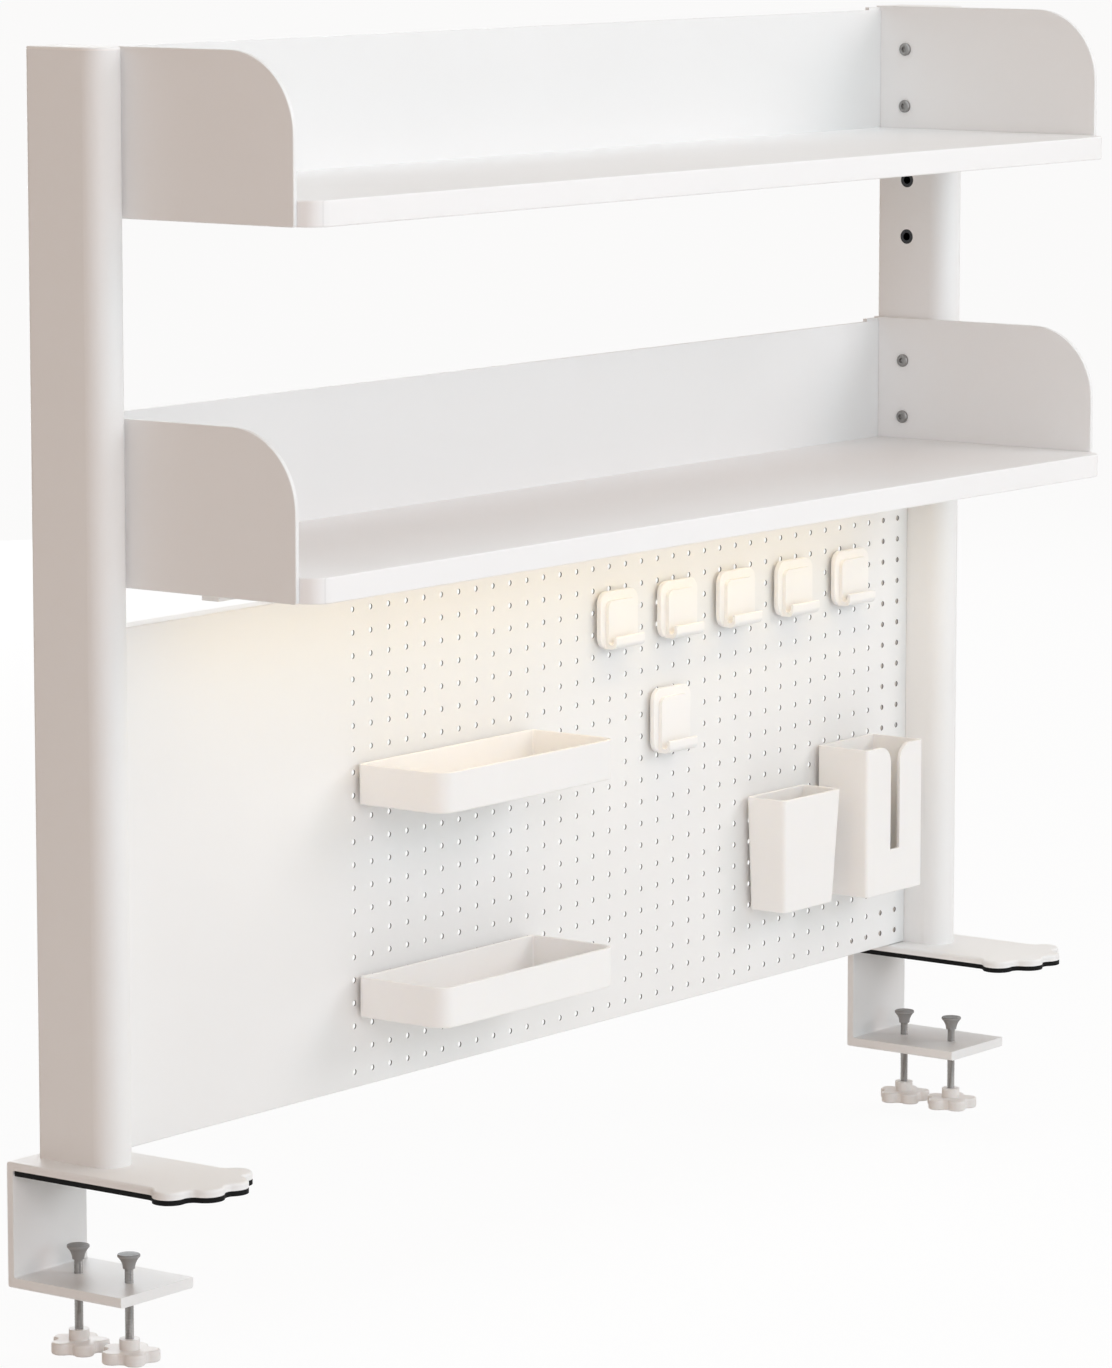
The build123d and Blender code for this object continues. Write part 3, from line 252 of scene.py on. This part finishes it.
def melamine(name, colour, front_edge):
    """White melamine board with a fine pearl and a thin band glued on its front edge."""
    g = Graph(name)
    tone = g.mottled(g.noise(90 * MM, detail=4), colour, darkest=0.985)
    depth = g.add("ShaderNodeSeparateXYZ", Vector=g.coords).outputs["Y"]
    from_joint = g.math("ABSOLUTE", g.math("SUBTRACT", depth, front_edge + BAND_THICKNESS))
    glue = g.span(from_joint, GLUE_STRENGTH, 0, 0, GLUE_LINE)
    tone = g.blend(glue, tone, shade(colour, 0.72))
    pearl = g.bump(g.cells(0.9 * MM), depth=0.02 * MM, strength=0.5)
    fibres = g.bump(g.noise(6 * MM, stretch=(0.2, 1, 1)), depth=0.03 * MM, strength=0.4, under=pearl)
    roughness = g.around(g.noise(1.2 * MM), 0.41, 0.05)
    return g.surface(Base_Color=tone, Roughness=roughness, Normal=fibres, Specular_IOR_Level=0.45)


def moulded(name, colour, rough=0.4):
    """Injection-moulded plastic with a spark-eroded grain and faint flow marks."""
    g = Graph(name)
    flow = g.noise(50 * MM, detail=3, stretch=(1, 1, 0.3))
    return g.surface(
        Base_Color=g.mottled(flow, colour, darkest=0.98),
        Roughness=g.around(g.noise(12 * MM, detail=3), rough, 0.05),
        Normal=g.bump(g.cells(0.6 * MM), depth=0.03 * MM, strength=0.7),
        Subsurface_Weight=0.06,
        Subsurface_Radius=(4 * MM, 3 * MM, 2 * MM),
        Subsurface_Scale=1.0)


def rubber(name):
    """Black sheet rubber with patches of dust."""
    g = Graph(name)
    dust = g.noise(3 * MM, detail=4)
    return g.surface(
        Base_Color=g.blend(g.span(dust, 0, 1, 0.55, 0.8), RUBBER_BLACK, RUBBER_DUST),
        Roughness=g.around(dust, 0.79, 0.07),
        Normal=g.bump(g.noise(0.5 * MM, detail=3), depth=0.05 * MM, strength=0.8),
        Specular_IOR_Level=0.15)


def metal(name, colour, rough, brushed=(1, 1, 1)):
    """Plated or turned metal, with marks that are longer along an axis where brushed is small."""
    g = Graph(name)
    marks = g.noise(1.5 * MM, detail=3, stretch=brushed)
    return g.surface(
        Base_Color=g.mottled(marks, colour, darkest=0.85),
        Metallic=1.0,
        Roughness=g.around(marks, rough, 0.08),
        Normal=g.bump(marks, depth=0.02 * MM, strength=0.5))


def glowing_cover(name, colour, strength):
    """Opal cover of the light bar, lit evenly from inside."""
    g = Graph(name)
    return g.surface(
        Base_Color=g.blend(g.noise(20 * MM), shade(colour, 0.94), colour),
        Roughness=0.5,
        Normal=g.bump(g.cells(0.8 * MM), depth=0.02 * MM, strength=0.6),
        Emission_Color=colour,
        Emission_Strength=strength)


# The perforated sheet has no holes over its left part, nor near its folded edges
PLAIN_SHEET = 250 * MM
FOLDED_EDGE = 4 * MM

sheet_low, sheet_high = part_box("perforated_panel")
field_low = sheet_low + Vector((PLAIN_SHEET, 0, FOLDED_EDGE))
field_high = sheet_high - Vector((FOLDED_EDGE, 0, FOLDED_EDGE))
board_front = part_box("lower_shelf_board")[0].y

paint = powder_coat("powder_coat", WHITE)
holed_paint = powder_coat("perforated_powder_coat", WHITE, holes=(field_low, field_high))
post_paint = powder_coat("post_powder_coat", WHITE, peel=POST_PEEL)
board_face = melamine("melamine_board", BOARD_WHITE, board_front)
plastic = moulded("white_moulded_plastic", PLASTIC_WHITE)
cap_plastic = moulded("cap_plastic", PLASTIC_WHITE, rough=0.5)
knob_plastic = moulded("knob_plastic", KNOB_WHITE, rough=0.45)
pad_plastic = moulded("pad_plastic", PAD_GREY, rough=0.5)
pad_rubber = rubber("black_rubber")
zinc = metal("zinc_plate", ZINC, rough=0.38)
bolt_zinc = metal("bolt_zinc_plate", BOLT_ZINC, rough=0.4)
black_zinc = metal("black_zinc_plate", BLACK_ZINC, rough=0.34)
threads = metal("zinc_thread", THREAD_ZINC, rough=0.36, brushed=(1, 1, 0.3))
nickel = metal("nickel_plate", NICKEL, rough=0.25)
aluminium = metal("anodised_aluminium", ALUMINIUM, rough=0.35, brushed=(0.05, 1, 1))
cover = glowing_cover("opal_cover", WARM_LIGHT, LIGHT_STRENGTH)
strip_board = moulded("strip_board", STRIP_WHITE, rough=0.35)


def dress(material, *names):
    for name in names:
        for slot in nodes[name].material_slots:
            slot.link = "OBJECT"
            slot.material = material


for side in SIDES:
    dress(post_paint, side + "_post")
    dress(paint, side + "_clamp_bracket")
    dress(pad_rubber, side + "_desk_pad")
for shelf in SHELVES:
    dress(paint, shelf + "_left_side_plate", shelf + "_right_side_plate", shelf + "_back_panel")
    dress(board_face, shelf + "_shelf_board")
for clamp in CLAMPS:
    dress(knob_plastic, clamp + "_clamp_knob")
    dress(pad_plastic, clamp + "_clamp_pad")
    dress(threads, clamp + "_clamp_screw")
for name in HELD:
    dress(plastic, name)
    dress(nickel, name + "_magnets")
dress(holed_paint, "perforated_panel")
dress(cap_plastic, "post_caps", "light_end_caps")
dress(zinc, "board_screws", "back_panel_nuts", "panel_screws")
dress(zinc, "post_feet", "post_foot_screws", "post_foot_bolts")
dress(black_zinc, "rivet_nuts")
dress(bolt_zinc, "shelf_bolts")
dress(aluminium, "light_channel")
dress(cover, "light_cover")
dress(strip_board, "led_strip")


# Threaded rods of the clamps

THREAD_PITCH = 1.0 * MM
THREAD_DEPTH = 0.35 * MM
THREAD_STEPS = 20
ROWS_PER_PITCH = 4
ROD_CHAMFER = 1.0 * MM


def threaded_rod(name, low, high):
    """Mesh of a rod with a helical thread, chamfered at both ends, in the box between two corners."""
    middle = (low + high) / 2
    radius = (high.x - low.x) / 2
    length = high.z - low.z
    rows = int(length / THREAD_PITCH * ROWS_PER_PITCH)
    bm = bmesh.new()
    rings = []
    for row in range(rows + 1):
        height = length * row / rows
        end_cut = ROD_CHAMFER - min(height, length - height)
        ring = []
        for step in range(THREAD_STEPS):
            turn = step / THREAD_STEPS
            phase = (height / THREAD_PITCH - turn) % 1.0
            reach = radius - max(THREAD_DEPTH * abs(2 * phase - 1), end_cut)
            x = middle.x + reach * math.cos(math.tau * turn)
            y = middle.y + reach * math.sin(math.tau * turn)
            ring.append(bm.verts.new((x, y, low.z + height)))
        rings.append(ring)
    for below, above in zip(rings, rings[1:]):
        for step in range(THREAD_STEPS):
            after = (step + 1) % THREAD_STEPS
            bm.faces.new((below[step], below[after], above[after], above[step]))
    bm.faces.new(list(reversed(rings[0])))
    bm.faces.new(rings[-1])
    bm.normal_update()
    mesh = bpy.data.meshes.new(name)
    bm.to_mesh(mesh)
    bm.free()
    return mesh


for clamp in CLAMPS:
    screw = clamp + "_clamp_screw"
    rod_name = clamp + "_threaded_rod"
    rod = bpy.data.objects.new(rod_name, threaded_rod(rod_name, *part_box(screw)))
    rod.data.materials.append(threads)
    scene.collection.objects.link(rod)
    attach(rod, screw)
    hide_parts(screw)


# Floor and backdrop

FLOOR_REACH = 45.0
FLOOR_SIDES = 96
FLOOR_WHITENESS = 0.94
FLOOR_CLEARANCE = 0.2 * MM
WORLD_LEVEL = 0.355


def camera_white(tree, surface, whiteness):
    """Mixes plain white into what camera rays see of a surface, directly, mirrored or through glass."""
    path = tree.nodes.new("ShaderNodeLightPath")
    seen = path.outputs["Is Camera Ray"]
    for ray in ("Is Glossy Ray", "Is Transmission Ray"):
        either = tree.nodes.new("ShaderNodeMath")
        either.operation = "MAXIMUM"
        tree.links.new(seen, either.inputs[0])
        tree.links.new(path.outputs[ray], either.inputs[1])
        seen = either.outputs[0]
    part = tree.nodes.new("ShaderNodeMath")
    part.operation = "MULTIPLY"
    part.inputs[1].default_value = whiteness
    tree.links.new(seen, part.inputs[0])
    plain = tree.nodes.new("ShaderNodeEmission")
    plain.inputs["Color"].default_value = (1, 1, 1, 1)
    plain.inputs["Strength"].default_value = 1.0
    mix = tree.nodes.new("ShaderNodeMixShader")
    tree.links.new(part.outputs[0], mix.inputs[0])
    tree.links.new(surface, mix.inputs[1])
    tree.links.new(plain.outputs[0], mix.inputs[2])
    return mix.outputs[0]


# The clamp knobs sink below their place at rest, and the floor lies below that
lift_starts = [joint["range_m"][0] for joint in frame["joints"] if joint["name"].endswith("_clamp_lift")]
floor_height = first_low.z + min(lift_starts) - FLOOR_CLEARANCE

floor_graph = Graph("floor_paper")
floor_shader = floor_graph.add("ShaderNodeBsdfDiffuse", Color=FLOOR_WHITE)
floor_surface = camera_white(floor_graph.tree, floor_shader.outputs[0], FLOOR_WHITENESS)
floor_graph.put(floor_graph.out.inputs["Surface"], floor_surface)

floor_mesh = bpy.data.meshes.new("floor")
floor_bm = bmesh.new()
bmesh.ops.create_circle(floor_bm, cap_ends=True, segments=FLOOR_SIDES, radius=FLOOR_REACH)
floor_bm.to_mesh(floor_mesh)
floor_bm.free()
floor = bpy.data.objects.new("floor", floor_mesh)
floor.location.z = floor_height
floor_mesh.materials.append(floor_graph.material)
scene.collection.objects.link(floor)

world = bpy.data.worlds.new("studio")
scene.world = world
world.use_nodes = True
world.node_tree.nodes.clear()
ambient = world.node_tree.nodes.new("ShaderNodeBackground")
ambient.inputs["Color"].default_value = WARM_ROOM
ambient.inputs["Strength"].default_value = WORLD_LEVEL
world_out = world.node_tree.nodes.new("ShaderNodeOutputWorld")
backdrop = camera_white(world.node_tree, ambient.outputs[0], 1.0)
world.node_tree.links.new(backdrop, world_out.inputs["Surface"])


# Lamps

OBJECT_MIDDLE = Vector((0.0, -0.08, 0.3))
LAMP_HEIGHT = 2.0


def soft_lamp(name, place, width, watts, colour):
    """A large rectangular lamp that is aimed at the object and that the camera doesn't see."""
    data = bpy.data.lights.new(name, "AREA")
    data.shape = "RECTANGLE"
    data.size = width
    data.size_y = LAMP_HEIGHT
    data.energy = watts
    data.color = colour
    lamp = bpy.data.objects.new(name, data)
    scene.collection.objects.link(lamp)
    lamp.location = place
    lamp.rotation_euler = (OBJECT_MIDDLE - Vector(place)).to_track_quat("-Z", "Y").to_euler()
    lamp.visible_camera = False


soft_lamp("front_lamp", (0.3, -3.6, 0.9), width=2.6, watts=19.5, colour=(0.39, 0.82, 1.03))
soft_lamp("right_lamp", (2.2, -3.0, 2.0), width=2.2, watts=43, colour=(0.99, 0.96, 0.98))
soft_lamp("left_lamp", (-2.4, -3.0, 1.4), width=2.0, watts=38, colour=(0.97, 0.945, 0.995))
soft_lamp("top_lamp", (0.2, -0.8, 3.4), width=3.0, watts=33.5, colour=(0.72, 0.9, 1.0))
soft_lamp("back_lamp", (2.4, 3.2, 0.8), width=2.2, watts=48, colour=(0.88, 0.95, 1.0))

bpy.context.view_layer.update()
scene.view_settings.view_transform = "Standard"
